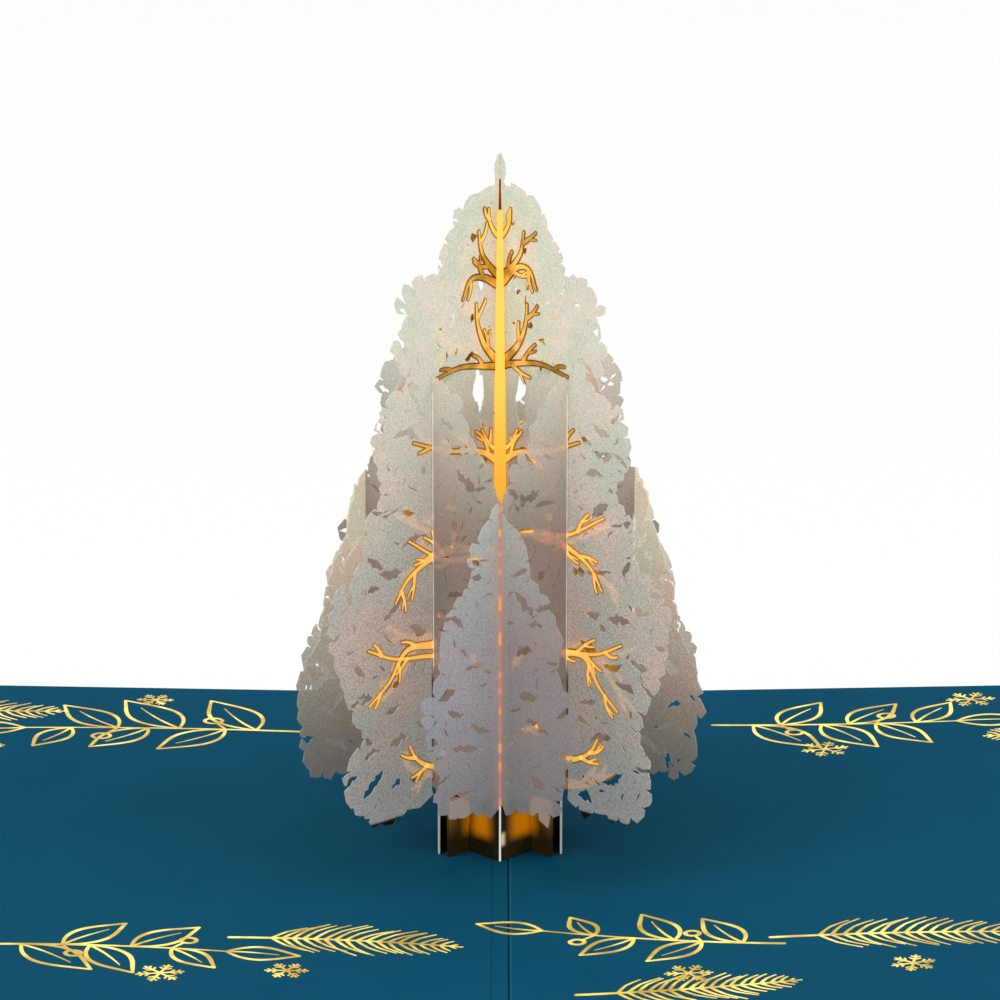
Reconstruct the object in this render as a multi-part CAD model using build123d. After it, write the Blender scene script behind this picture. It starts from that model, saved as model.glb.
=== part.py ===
from build123d import *
import math
import os
import random

os.makedirs("parts", exist_ok=True)

# Cover: one sheet of card, folded at two scored creases either side of a narrow flat spine
card_half_width = 127.0
card_length = 177.8
card_thickness = 0.38
spine_half_width = 1.4
crease_half_width = 0.22
crease_depth = 0.12
panel_rise = 1.0

# Leaf slices: six sheets of vellum, three each way, slotted together at right angles
crown_height = 121.4
crown_reach = 39.2
outer_height = 84.7
outer_reach = 32.6
slice_spacing = 16.2
vellum_thickness = 0.25
slot_width = 0.62
slot_end_gap = 0.2
centre_lap_share = 0.461
outer_lap_share = 0.288
corner_lap_share = 0.305
lobe_pitch = 4.3
lobe_depth = 0.95
lobe_inset = 0.5
lobe_height_share = (0.75, 1.2)
lobe_shoulder_share = (0.27, 0.7)
lobe_lean_share = 0.08
notch_share = (0.05, 0.35)
edge_wobble = 0.35
hole_size = 2.4
hole_turn = 0.5
edge_seed = 11

# Trunk: a diamond of four gold plates round the foot of the centre slices, held by two side plates
trunk_height = 10.6
trunk_foot_half_width = 12.6
trunk_corner = 10.6
joint_clearance = 0.03
side_plate_half_length = 7.5
side_plate_height = 10.9
foot_tab_reach = 2.6
foot_tab_far_end = 6.6
foot_tab_taper = 0.9
foot_tab_near_end = 1.2
foot_tab_slant = 2.2
bend_radius = 0.3

# Gold branch trees: thin gold card on both faces of the two centre slices
gold_thickness = 0.12
stem_base_half_width = 2.3
stem_top_half_width = 0.35
stem_flare_share = 1.6
stem_waist_share = 0.8
stem_tip_drop = 4.4
limb_width = 1.5
twig_width = 0.95
limb_tip_width = 0.55
back_lines = 3

# Light unit: a flat circuit strip with two lamps, a tapered light guide, two cells, a clip and a contact
board_thickness = 0.3
board_pad_half_diagonal = 4.6
board_front_pad_half_diagonal = 3.6
board_neck_width = 1.5
guide_front = 1.55
guide_thickness = 0.5
guide_half_width = 1.1
guide_tip_half_width = 0.45
guide_tip_drop = 9.4
guide_taper_start = 62.0
lamp_length = 1.6
lamp_width = 0.9
lamp_height = 0.9
front_lamp_width = 2.8
front_lamp_depth = 2.2
front_lamp_height = 1.5
front_lamp_chamfer = 0.35
cell_diameter = 6.6
cell_height = 2.6
cell_rim = 0.3
cell_step = 0.25
clip_thickness = 0.2
clip_width = 0.9
clip_leg_place = 4.15
contact_width = 1.2
contact_length = 5.0
contact_rise = 2.4
contact_thickness = 0.2

overrun = 5.0

root_two = math.sqrt(2)
trunk_cell = trunk_corner / root_two
centre_lap_height = centre_lap_share * crown_height
outer_lap_height = outer_lap_share * crown_height
corner_lap_height = corner_lap_share * crown_height

# Half outline of a centre slice from its spire down, as shares of crown_reach and crown_height
spire_shares = [(0.0, 1.0), (0.042, 0.987), (0.048, 0.968), (0.03, 0.957), (0.08, 0.95)]
crown_shares = [
    (0.19, 0.936), (0.27, 0.908), (0.295, 0.878), (0.34, 0.85), (0.35, 0.822), (0.32, 0.806), (0.40, 0.80),
    (0.50, 0.788), (0.60, 0.763), (0.59, 0.733), (0.52, 0.71), (0.48, 0.695), (0.575, 0.684),
    (0.68, 0.664), (0.74, 0.634), (0.725, 0.60), (0.665, 0.573), (0.65, 0.552), (0.715, 0.532),
    (0.785, 0.507), (0.77, 0.474), (0.76, 0.458), (0.865, 0.44), (0.97, 0.414), (0.985, 0.377),
    (0.96, 0.338), (0.915, 0.30), (0.855, 0.26), (0.80, 0.231), (0.79, 0.208), (0.87, 0.186),
    (0.90, 0.153), (0.855, 0.117), (0.715, 0.09), (0.625, 0.103), (0.52, 0.095), (0.425, 0.112),
    (0.36, 0.10),
]

# Half outline of an outer slice from its top down, as shares of outer_reach and outer_height
outer_shares = [
    (0.0, 1.0), (0.11, 0.987), (0.185, 0.95), (0.227, 0.909), (0.295, 0.878), (0.38, 0.84),
    (0.417, 0.793), (0.485, 0.767), (0.60, 0.739), (0.67, 0.692), (0.65, 0.645), (0.725, 0.619),
    (0.84, 0.586), (0.89, 0.536), (0.865, 0.484), (0.90, 0.453), (0.975, 0.418), (0.985, 0.366),
    (0.97, 0.312), (0.90, 0.279), (0.925, 0.246), (0.915, 0.194), (0.81, 0.156), (0.69, 0.168),
    (0.55, 0.146), (0.417, 0.172), (0.28, 0.151), (0.14, 0.175), (0.0, 0.158),
]

# Openings cut between the leaves: place as shares of reach and height, then size and stretch
crown_hole_shares = [
    (0.125, 0.648, 1.0, 2.0), (-0.12, 0.655, 0.9, 2.2), (0.16, 0.80, 0.6, 1.5), (-0.17, 0.775, 0.5, 1.6),
    (0.40, 0.62, 0.6, 0.8), (-0.46, 0.575, 0.7, 0.9), (0.30, 0.50, 0.9, 0.8), (-0.28, 0.47, 0.8, 1.1),
    (0.62, 0.36, 0.8, 0.7), (-0.63, 0.28, 0.9, 0.6),
]
outer_hole_shares = [
    (0.17, 0.72, 0.7, 1.2), (-0.20, 0.62, 0.8, 1.0), (0.30, 0.46, 0.9, 0.8), (-0.32, 0.40, 0.7, 1.3),
]
hole_corner_shares = [(1.0, 0.1), (0.45, 0.75), (-0.35, 1.0), (-0.9, 0.3), (-0.6, -0.7), (0.3, -0.95)]

# Limbs of a gold tree: main line, then its twigs, as shares of crown_reach and crown_height
limb_shares = [
    [[(0.0, 0.885), (0.045, 0.900), (0.085, 0.918), (0.095, 0.942)], [(0.06, 0.906), (0.045, 0.928)]],
    [[(0.0, 0.825), (0.07, 0.842), (0.13, 0.865), (0.15, 0.896)], [(0.09, 0.85), (0.075, 0.877)],
     [(0.07, 0.842), (0.16, 0.843), (0.24, 0.822)]],
    [[(0.0, 0.712), (0.12, 0.722), (0.44, 0.728)], [(0.17, 0.724), (0.22, 0.765), (0.19, 0.79)],
     [(0.30, 0.728), (0.36, 0.757)], [(0.27, 0.728), (0.37, 0.705)]],
    [[(0.0, 0.56), (0.13, 0.578), (0.52, 0.612)], [(0.15, 0.579), (0.20, 0.63)],
     [(0.36, 0.598), (0.44, 0.645)], [(0.34, 0.596), (0.56, 0.572)]],
    [[(0.0, 0.43), (0.17, 0.452), (0.42, 0.462), (0.66, 0.50)], [(0.22, 0.454), (0.30, 0.50)],
     [(0.46, 0.468), (0.56, 0.52)], [(0.44, 0.465), (0.60, 0.435), (0.68, 0.402)]],
    [[(0.0, 0.262), (0.20, 0.297), (0.42, 0.318), (0.64, 0.328), (0.80, 0.35)], [(0.24, 0.30), (0.32, 0.35)],
     [(0.52, 0.322), (0.60, 0.37), (0.70, 0.392)], [(0.56, 0.324), (0.66, 0.28), (0.78, 0.262)],
     [(0.60, 0.306), (0.55, 0.265), (0.60, 0.225)]],
    [[(0.0, 0.12), (0.14, 0.163), (0.36, 0.19)], [(0.14, 0.163), (0.18, 0.205)]],
]


def panel_top(x):
    """Height of the cover's upper face at a distance x from the fold."""
    beyond = max(abs(x) - spine_half_width, 0)
    slope = math.radians(panel_rise)
    return card_thickness + beyond * math.tan(slope)


def v_layer(low_lift, high_lift):
    """A layer that follows the opened cover, from one lift above its upper face to another."""
    half = card_half_width + overrun
    places = [-half, -spine_half_width, spine_half_width, half]
    upper = [(x, panel_top(x) + high_lift) for x in places]
    lower = [(x, panel_top(x) + low_lift) for x in reversed(places)]
    face = make_face(Plane.XZ * Polyline(*upper, *lower, close=True))
    return extrude(face, card_length, both=True)


def slice_plane(family, place):
    """The plane of a slice: across is the sheet's width and up is its height, at a place off the axis."""
    if family == "a":
        return Plane(
            origin=(place / root_two, -place / root_two, 0), x_dir=(1, 1, 0), z_dir=(1, -1, 0)
        )
    return Plane(origin=(place / root_two, place / root_two, 0), x_dir=(1, -1, 0), z_dir=(-1, -1, 0))


def sheet(outline, thickness, plane, lift=0):
    """A flat sheet cut to an outline, centred on its plane, or lifted off it."""
    face = make_face(Polyline(*outline, close=True))
    body = extrude(face, thickness)
    return plane * Pos(0, 0, lift - thickness / 2) * body


def box_between(low, high):
    """A plain cutting block between two corners."""
    size = [high[axis] - low[axis] for axis in range(3)]
    middle = [(high[axis] + low[axis]) / 2 for axis in range(3)]
    return Pos(*middle) * Box(*size)


def slot(plane, across, low, high):
    """A straight slot through a sheet, between two heights."""
    block = box_between(
        (across - slot_width / 2, low, -overrun), (across + slot_width / 2, high, overrun)
    )
    return plane * block


def lower_slot(plane, across, lap):
    return slot(plane, across, -overrun, lap + slot_end_gap / 2)


def upper_slot(plane, across, lap):
    return slot(plane, across, lap - slot_end_gap / 2, crown_height + overrun)


def leafy(chain, chance):
    """Walks along a chain of points and turns it into an edge of angular leaves, outside on its right."""
    middle = [
        (x + chance.uniform(-edge_wobble, edge_wobble), y + chance.uniform(-edge_wobble, edge_wobble))
        for x, y in chain[1:-1]
    ]
    chain = [chain[0]] + middle + [chain[-1]]
    lengths = [math.dist(a, b) for a, b in zip(chain, chain[1:])]
    total = sum(lengths)
    count = round(total / lobe_pitch)
    step = total / count

    def at(distance, out):
        for (a, b), length in zip(zip(chain, chain[1:]), lengths):
            if distance <= length:
                break
            distance -= length
        share = min(distance / length, 1)
        along = ((b[0] - a[0]) / length, (b[1] - a[1]) / length)
        return (
            a[0] + (b[0] - a[0]) * share + along[1] * (out - lobe_inset),
            a[1] + (b[1] - a[1]) * share - along[0] * (out - lobe_inset),
        )

    points = [chain[0]]
    for lobe in range(count):
        start = lobe * step
        lean = chance.uniform(-lobe_lean_share, lobe_lean_share)
        for shoulder in lobe_shoulder_share:
            height = lobe_depth * chance.uniform(*lobe_height_share)
            points.append(at(start + step * (shoulder + lean), height))
        if lobe < count - 1:
            points.append(at(start + step, -lobe_depth * chance.uniform(*notch_share)))
    return points + [chain[-1]]


def leaf_openings(plane, shares, reach, height, chance):
    """Angular openings between the leaves of a slice."""
    cuts = []
    for across, up, size, stretch in shares:
        turn = chance.uniform(-hole_turn, hole_turn)
        corners = []
        for x, y in hole_corner_shares:
            x, y = x * hole_size * size / 2, y * hole_size * size * stretch / 2
            corners.append(
                (
                    across * reach + x * math.cos(turn) - y * math.sin(turn),
                    up * height + x * math.sin(turn) + y * math.cos(turn),
                )
            )
        cuts.append(sheet(corners, overrun, plane))
    return cuts


def centre_slice(family, seed):
    """A full-height slice through the tree's axis, with a plain foot inside the trunk."""
    chance = random.Random(seed)
    plane = slice_plane(family, 0)
    spire = [(x * crown_reach, y * crown_height) for x, y in spire_shares]
    crown = [(x * crown_reach, y * crown_height) for x, y in crown_shares]
    foot = (trunk_foot_half_width, trunk_height)
    right = leafy([foot] + crown[::-1] + [spire[-1]], chance)
    left = leafy([(-x, y) for x, y in [spire[-1]] + crown + [foot]], chance)
    tip = spire[-2::-1] + [(-x, y) for x, y in spire[1:-1]]
    outline = right + tip + left + [(-foot[0], 0), (foot[0], 0)]
    body = sheet(outline, vellum_thickness, plane)
    return body - leaf_openings(plane, crown_hole_shares, crown_reach, crown_height, chance)


def outer_slice(family, place, seed):
    """A slice off the axis, carried by its slots and clear of the card."""
    chance = random.Random(seed)
    plane = slice_plane(family, place)
    right = [(x * outer_reach, y * outer_height) for x, y in outer_shares]
    left = [(-x, y) for x, y in right[1:-1]]
    chain = right[::-1] + left + [right[-1]]
    body = sheet(leafy(chain, chance)[:-1], vellum_thickness, plane)
    return body - leaf_openings(plane, outer_hole_shares, outer_reach, outer_height, chance)


def stroke(points, start_width, end_width):
    """A tapered strip that follows a few points."""
    left, right = [], []
    for index, point in enumerate(points):
        before = points[max(index - 1, 0)]
        after = points[min(index + 1, len(points) - 1)]
        run = math.dist(before, after)
        share = index / (len(points) - 1)
        half = (start_width + (end_width - start_width) * share) / 2
        across = (-(after[1] - before[1]) / run * half, (after[0] - before[0]) / run * half)
        left.append((point[0] + across[0], point[1] + across[1]))
        right.append((point[0] - across[0], point[1] - across[1]))
    return make_face(Polyline(*left, *reversed(right), close=True))


def gold_tree(family, front, reach_scale, lift_share):
    """One gold branch tree with its foot, on the front or back face of a centre slice."""
    plane = slice_plane(family, 0)
    foot = trunk_foot_half_width
    stem = [
        (foot, 0), (foot, trunk_height), (stem_base_half_width * stem_flare_share, trunk_height),
        (stem_base_half_width, trunk_height * stem_flare_share),
        (stem_base_half_width * stem_waist_share, crown_height / 2),
        (stem_top_half_width, crown_height - stem_tip_drop),
    ]
    drawing = make_face(Polyline(*stem, *[(-x, y) for x, y in reversed(stem)], close=True))
    for side in (-1, 1):
        for limb in limb_shares:
            for number, line in enumerate(limb if front else limb[:back_lines]):
                lift = lift_share * side * crown_height
                points = [
                    (side * x * reach_scale * crown_reach, y * crown_height + lift) for x, y in line
                ]
                width = twig_width if number else limb_width
                drawing += stroke(points, width, limb_tip_width)
    body = extrude(drawing, gold_thickness)
    lift = vellum_thickness / 2 if front else -vellum_thickness / 2 - gold_thickness
    return plane * Pos(0, 0, lift) * body


def lapped_centre(body, family):
    """Cuts the slots of a centre slice: its own crossing, the outer slices' and the trunk plates'."""
    plane = slice_plane(family, 0)
    if family == "a":
        body -= lower_slot(plane, 0, centre_lap_height)
    else:
        body -= upper_slot(plane, 0, centre_lap_height)
    for side in (-1, 1):
        body -= lower_slot(plane, side * slice_spacing, outer_lap_height)
        body -= lower_slot(plane, side * trunk_cell, trunk_height / 2)
    return body


def lapped_outer(body, family, place):
    """Cuts the slots of an outer slice: the centre slice's and the two corner crossings."""
    plane = slice_plane(family, place)
    body -= upper_slot(plane, 0, outer_lap_height)
    for side in (-1, 1):
        if family == "a":
            body -= lower_slot(plane, side * slice_spacing, corner_lap_height)
        else:
            body -= upper_slot(plane, side * slice_spacing, corner_lap_height)
    return body


def cover():
    """The opened cover, with a shallow score along each crease."""
    half = spine_half_width
    slope = math.radians(panel_rise)
    width = card_half_width - half
    tip = (half + width * math.cos(slope), width * math.sin(slope))
    top = (tip[0] - card_thickness * math.sin(slope), tip[1] + card_thickness * math.cos(slope))
    score = half + crease_half_width
    side = [
        (half, 0), tip, top, (score, panel_top(score)), (half, card_thickness - crease_depth),
        (half - crease_half_width, card_thickness),
    ]
    profile = side + [(-x, z) for x, z in reversed(side)]
    face = make_face(Plane.XZ * Polyline(*profile, close=True))
    return extrude(face, card_length / 2, both=True)


def side_plate(side):
    """An upright plate along the fold, bent inwards at its foot to two glued tabs."""
    inner = trunk_corner - card_thickness / root_two - joint_clearance
    outer = inner + card_thickness
    tip = inner - foot_tab_reach
    profile = [
        (tip, panel_top(tip)), (outer, panel_top(outer)), (outer, side_plate_height),
        (inner, side_plate_height), (inner, panel_top(inner) + card_thickness),
        (tip, panel_top(tip) + card_thickness),
    ]
    face = make_face(Plane.XZ * Polyline(*[(side * x, z) for x, z in profile], close=True))
    body = extrude(face, side_plate_half_length, both=True)
    bend = body.edges().filter_by(Axis.Y).sort_by_distance((side * outer, 0, panel_top(outer)))
    body = fillet(bend[0], bend_radius)
    near, far, outside = foot_tab_near_end, foot_tab_far_end, side_plate_half_length + overrun
    between = [
        (inner, -near), (inner, near), (tip, near + foot_tab_slant), (tip - overrun, near + foot_tab_slant),
        (tip - overrun, -near - foot_tab_slant), (tip, -near - foot_tab_slant),
    ]
    ends = [
        [(inner, end * far), (inner, end * outside), (tip - overrun, end * outside),
         (tip - overrun, end * (far - foot_tab_taper)), (tip, end * (far - foot_tab_taper))]
        for end in (-1, 1)
    ]
    for corners in [between] + ends:
        cut = make_face(Polyline(*[(side * x, y) for x, y in corners], close=True))
        body -= extrude(cut, side_plate_height, both=True)
    return body


def trunk_plate(family, place):
    """One side of the trunk's diamond: finger-jointed at the fold, mitred against its side plate."""
    plane = slice_plane(family, place)
    half = trunk_cell
    over = card_thickness / 2
    under = trunk_height / 2
    fold_end = -1 if place > 0 else 1
    lower, upper = (over, -over) if family == "a" else (-over, over)
    outline = [
        (-fold_end * (half + overrun), 0), (fold_end * (half + lower), 0),
        (fold_end * (half + lower), under), (fold_end * (half + upper), under),
        (fold_end * (half + upper), trunk_height), (-fold_end * (half + overrun), trunk_height),
    ]
    body = sheet(outline, card_thickness, plane)
    inner = trunk_corner - card_thickness / root_two - joint_clearance
    reach = card_half_width
    for side in (-1, 1):
        near, far = sorted((side * inner, side * reach))
        body -= box_between((near, -reach, -overrun), (far, reach, crown_height))
    return body - upper_slot(plane, 0, trunk_height / 2)


def light_board():
    """A thin circuit strip: a pad in three cells of the trunk, joined under the centre slices."""
    def pad(x, y, half):
        return make_face(
            Polyline((x - half, y), (x, y - half), (x + half, y), (x, y + half), close=True)
        )

    middle = trunk_corner / 2
    drawing = pad(0, -middle, board_front_pad_half_diagonal)
    for side in (-1, 1):
        drawing += pad(side * middle, 0, board_pad_half_diagonal)
        drawing += stroke([(0, -middle), (side * middle, 0)], board_neck_width, board_neck_width)
    drawing += stroke([(0, -middle), (0, -guide_front)], lamp_length, lamp_width)
    return extrude(drawing, trunk_height) & v_layer(0, board_thickness)


def light_guide():
    """A tapered clear strip with a round tip, standing in the front valley of the centre slices."""
    bottom = card_thickness + board_thickness + lamp_height
    half, tip = guide_half_width, guide_tip_half_width
    top = crown_height - guide_tip_drop
    shoulder = top - tip
    edge = (
        Polyline((-tip, shoulder), (-half, guide_taper_start), (-half, bottom), (half, bottom),
                 (half, guide_taper_start), (tip, shoulder))
        + ThreePointArc((tip, shoulder), (0, top), (-tip, shoulder))
    )
    face = Plane.XZ * make_face(edge)
    return Pos(0, -guide_front, 0) * extrude(face, guide_thickness)


def guide_lamp():
    low = card_thickness + board_thickness
    place = guide_front + guide_thickness / 2
    return Pos(0, -place, low + lamp_height / 2) * Box(lamp_length, lamp_width, lamp_height)


def front_lamp():
    """A small square lamp with a chamfered top, in the middle of the front cell."""
    low = card_thickness + board_thickness
    place = trunk_corner / 2 + lamp_width
    body = Pos(0, -place, low + front_lamp_height / 2) * Box(
        front_lamp_width, front_lamp_depth, front_lamp_height
    )
    return chamfer(body.faces().sort_by(Axis.Z)[-1].edges(), front_lamp_chamfer)


def button_cell(level):
    """A button cell: a wide can with a narrower cap."""
    low = panel_top(trunk_corner) + board_thickness + level * cell_height
    can = cell_height - cell_step
    body = Pos(0, 0, can / 2) * Cylinder(cell_diameter / 2, can)
    cap = Cylinder(cell_diameter / 2 - cell_rim * 2, cell_step)
    body += Pos(0, 0, can + cell_step / 2) * cap
    return Pos(-trunk_corner / 2, 0, low) * body


def battery_clip():
    """A bridge of sprung brass over the cells, with a leg down to the board each side."""
    foot = panel_top(trunk_corner) + board_thickness
    top = foot + 2 * cell_height
    leg = clip_leg_place
    span = [
        (-leg - clip_thickness, foot), (-leg - clip_thickness, top + clip_thickness),
        (leg + clip_thickness, top + clip_thickness), (leg + clip_thickness, foot), (leg, foot),
        (leg, top), (-leg, top), (-leg, foot),
    ]
    face = make_face(Plane.YZ * Polyline(*span, close=True))
    body = extrude(face, clip_width / 2, both=True)
    return Pos(-trunk_corner / 2, 0, 0) * body


def switch_contact():
    """An arched brass leaf that touches the board at both ends while the card is open."""
    low = panel_top(trunk_corner) + board_thickness
    half = contact_length / 2
    outer = ThreePointArc((-half, low), (0, low + contact_rise), (half, low))
    thin = contact_thickness
    inner = ThreePointArc((half - thin, low), (0, low + contact_rise - thin), (-half + thin, low))
    ends = Line((half, low), (half - thin, low)) + Line((-half + thin, low), (-half, low))
    face = Plane.YZ * make_face(outer + inner + ends)
    return Pos(trunk_corner / 2, 0, 0) * extrude(face, contact_width / 2, both=True)


below_card = v_layer(-card_thickness - overrun, 0)
board = light_board()
parts = {"cover": cover()}

# Leaf slices
place = slice_spacing
for number, family in enumerate("ab"):
    body = lapped_centre(centre_slice(family, edge_seed + number), family)
    parts["leaf_slice_centre_" + family] = body - below_card - board
outer_places = {
    "back_left": ("a", -place), "front_right": ("a", place),
    "front_left": ("b", -place), "back_right": ("b", place),
}
for number, (name, (family, off)) in enumerate(outer_places.items()):
    body = outer_slice(family, off, edge_seed + 2 + number)
    parts["leaf_slice_" + name] = lapped_outer(body, family, off)

# Gold branch trees
tree_places = {
    "gold_tree_a_front": ("a", True, 1.0, 0.0), "gold_tree_a_back": ("a", False, 0.97, 0.004),
    "gold_tree_b_front": ("b", True, 0.94, 0.006), "gold_tree_b_back": ("b", False, 1.0, -0.004),
}
for name, (family, front, scale, lift) in tree_places.items():
    body = lapped_centre(gold_tree(family, front, scale, lift), family)
    parts[name] = body - below_card - board

# Trunk
corner = trunk_cell
trunk_places = {
    "back_left": ("a", -corner), "front_right": ("a", corner),
    "front_left": ("b", -corner), "back_right": ("b", corner),
}
for name, (family, off) in trunk_places.items():
    parts["trunk_plate_" + name] = trunk_plate(family, off) - below_card
parts["side_plate_left"] = side_plate(-1)
parts["side_plate_right"] = side_plate(1)

# Light unit
parts["light_board"] = board
parts["light_guide"] = light_guide()
parts["guide_lamp"] = guide_lamp()
parts["front_lamp"] = front_lamp()
parts["button_cell_lower"] = button_cell(0)
parts["button_cell_upper"] = button_cell(1)
parts["battery_clip"] = battery_clip()
parts["switch_contact"] = switch_contact()

for name, body in parts.items():
    export_step(body, "parts/" + name + ".step")
    print(name, len(body.solids()), round(body.volume, 3))
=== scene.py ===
# %% [markdown]
# A pop up card, opened nearly flat, with a tree of slotted vellum sheets standing on its fold. The packed
# card comes in first and never moves. Everything below adds to it what a solid model lacks: fine leaf cuts,
# gold foil on the card, the frosted look of vellum, and the warm light inside the tree.

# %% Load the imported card
import random
from math import atan2, copysign, cos, dist, hypot, pi, radians, sin, sqrt, tan

import bmesh
import bpy
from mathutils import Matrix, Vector
from mathutils.bvhtree import BVHTree
from mathutils.geometry import delaunay_2d_cdt


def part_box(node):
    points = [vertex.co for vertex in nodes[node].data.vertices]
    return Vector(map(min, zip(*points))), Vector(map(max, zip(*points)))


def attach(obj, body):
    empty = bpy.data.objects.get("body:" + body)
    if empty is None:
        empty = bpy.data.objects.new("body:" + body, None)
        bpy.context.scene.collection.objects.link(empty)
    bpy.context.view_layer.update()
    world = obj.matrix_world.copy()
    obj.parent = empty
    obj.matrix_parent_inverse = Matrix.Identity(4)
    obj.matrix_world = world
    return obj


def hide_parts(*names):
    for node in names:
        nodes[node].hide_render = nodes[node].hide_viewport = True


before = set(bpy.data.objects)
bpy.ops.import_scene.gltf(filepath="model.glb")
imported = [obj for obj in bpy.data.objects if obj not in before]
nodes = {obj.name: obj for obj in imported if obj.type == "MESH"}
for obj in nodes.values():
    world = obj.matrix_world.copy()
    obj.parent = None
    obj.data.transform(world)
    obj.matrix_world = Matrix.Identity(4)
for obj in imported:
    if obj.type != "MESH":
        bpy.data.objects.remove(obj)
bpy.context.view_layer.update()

MM = 0.001
print("nodes:", len(nodes))

# %% [markdown]
# The camera comes next, because it tells how large each detail will look. The photograph was taken with a
# long lens from a little above the card, so the lens is long here too, and the tree's sides stay parallel.

# %% Place the camera
CAMERA_BACK = 729.4 * MM
CAMERA_HEIGHT = 246.5 * MM
CAMERA_PITCH = radians(14.23)
bpy.ops.object.select_all(action="DESELECT")
bpy.ops.object.camera_add(
    location=(0, -CAMERA_BACK, CAMERA_HEIGHT), rotation=(radians(90) - CAMERA_PITCH, 0, 0)
)
camera = bpy.context.object
camera.data.lens = 159
camera.data.sensor_width = 36
camera.data.clip_end = 20
bpy.context.scene.camera = camera
print("camera at", [round(v, 3) for v in camera.location])

# %% [markdown]
# A material is a small graph of nodes. The first helper gives a socket its value, which may be a number, a
# colour or what another node puts out, so that the rest need not ask which.

# %% Helpers for nodes
def join(tree, value, socket):
    """Gives a socket a number, a colour, a vector, or another node's output."""
    if isinstance(value, (int, float)):
        socket.default_value = value
    elif isinstance(value, tuple):
        socket.default_value = value + (1,) * (len(socket.default_value) - len(value))
    else:
        tree.links.new(value, socket)


def set_inputs(tree, node, values):
    for key, value in values.items():
        join(tree, value, node.inputs[key])
    return node


def add_node(tree, kind, values, **settings):
    node = tree.nodes.new(kind)
    for key, value in settings.items():
        setattr(node, key, value)
    return set_inputs(tree, node, values)


def new_material(name):
    """An empty material, its tree, and the Principled shader in it."""
    made = bpy.data.materials.new(name)
    made.use_nodes = True
    return made, made.node_tree, made.node_tree.nodes["Principled BSDF"]


def put_on(material, *pieces):
    """Gives pieces one material. Where it glows, the glow is seen but doesn't count as a lamp."""
    material.cycles.emission_sampling = "NONE"
    for piece in pieces:
        piece.data.materials.clear()
        piece.data.materials.append(material)

# %% [markdown]
# Most finishes are sums of masks: a mask is one where a colour belongs and zero elsewhere. It comes from a
# noise, from a coordinate, or from the distance to a line, and its range is then spread out to zero and one.

# %% Helpers for masks and colours
def maths(tree, operation, first, second=0.0):
    return add_node(tree, "ShaderNodeMath", {0: first, 1: second}, operation=operation).outputs[0]


def times(tree, first, second):
    return maths(tree, "MULTIPLY", first, second)


def mix(tree, factor, first, second):
    values = {0: factor, 6: first, 7: second}
    return add_node(tree, "ShaderNodeMix", values, data_type="RGBA").outputs[2]


def tinted(tree, colour, other, mask, strength):
    """Lays another colour over a colour, as far as a mask and a strength say."""
    return mix(tree, times(tree, mask, strength), colour, other)


def object_place(tree):
    return add_node(tree, "ShaderNodeTexCoord", {}).outputs["Object"]


def axes(tree):
    """The three coordinates of a place on the object."""
    return tuple(add_node(tree, "ShaderNodeSeparateXYZ", {0: object_place(tree)}).outputs)


def spread(tree, value, start, end, **settings):
    """Zero where the value is at its start and one where it is at its end, which may be the lower one."""
    values = {"Value": value, "From Min": start, "From Max": end}
    return add_node(tree, "ShaderNodeMapRange", values, **settings).outputs["Result"]


def cloud(tree, size, detail=3, start=0.35, end=0.65, rough=0.5, shift=None):
    """A mask of soft blobs, about size across, from a noise read on object coordinates."""
    place = object_place(tree)
    if shift:
        place = add_node(tree, "ShaderNodeVectorMath", {0: place, 1: shift}, operation="ADD").outputs[0]
    values = {"Vector": place, "Scale": 1 / size, "Detail": detail, "Roughness": rough}
    return spread(tree, add_node(tree, "ShaderNodeTexNoise", values).outputs["Fac"], start, end)


def ramp(tree, distance, start, end, **settings):
    """The same for a distance, with its start and end in mm."""
    return spread(tree, distance, start * MM, end * MM, **settings)


def line_mask(tree, distance, middle, half, soft):
    """One on a line at a given distance in mm, falling to zero at its sides."""
    away = maths(tree, "ABSOLUTE", maths(tree, "SUBTRACT", distance, middle * MM))
    return ramp(tree, away, half + soft, half)

# %% [markdown]
# Paper has a fine grain that catches the light: it is used by the card and the vellum alike, so it is one
# node group with its own input. It puts out a height for a Bump node and a mask to vary the colour by.

# %% A shared paper grain
COARSE_SHARE = 0.45
GRAIN = bpy.data.node_groups.new("paper_grain", "ShaderNodeTree")
for name, way in (("Size", "INPUT"), ("Height", "OUTPUT"), ("Speckle", "OUTPUT")):
    GRAIN.interface.new_socket(name, in_out=way, socket_type="NodeSocketFloat")
start, end = GRAIN.nodes.new("NodeGroupInput"), GRAIN.nodes.new("NodeGroupOutput")
scale = maths(GRAIN, "DIVIDE", 1.0, start.outputs["Size"])
place = object_place(GRAIN)
fine, coarse = [
    add_node(GRAIN, "ShaderNodeTexNoise", {
        "Vector": place, "Scale": times(GRAIN, scale, share), "Detail": detail, "Roughness": rough,
    }).outputs["Fac"] for share, detail, rough in ((1.0, 3.0, 0.6), (COARSE_SHARE, 2.0, 0.5))
]
join(GRAIN, maths(GRAIN, "ADD", fine, coarse), end.inputs["Height"])
join(GRAIN, spread(GRAIN, fine, 0.32, 0.68), end.inputs["Speckle"])


def grain(tree, size):
    node = add_node(tree, "ShaderNodeGroup", {}, node_tree=GRAIN)
    node.inputs["Size"].default_value = size
    return node.outputs["Height"], node.outputs["Speckle"]


def bump(tree, shader, height, strength, distance):
    values = {"Height": height, "Strength": strength, "Distance": distance}
    join(tree, add_node(tree, "ShaderNodeBump", values).outputs["Normal"], shader.inputs["Normal"])


print("grain nodes:", len(GRAIN.nodes))

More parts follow.
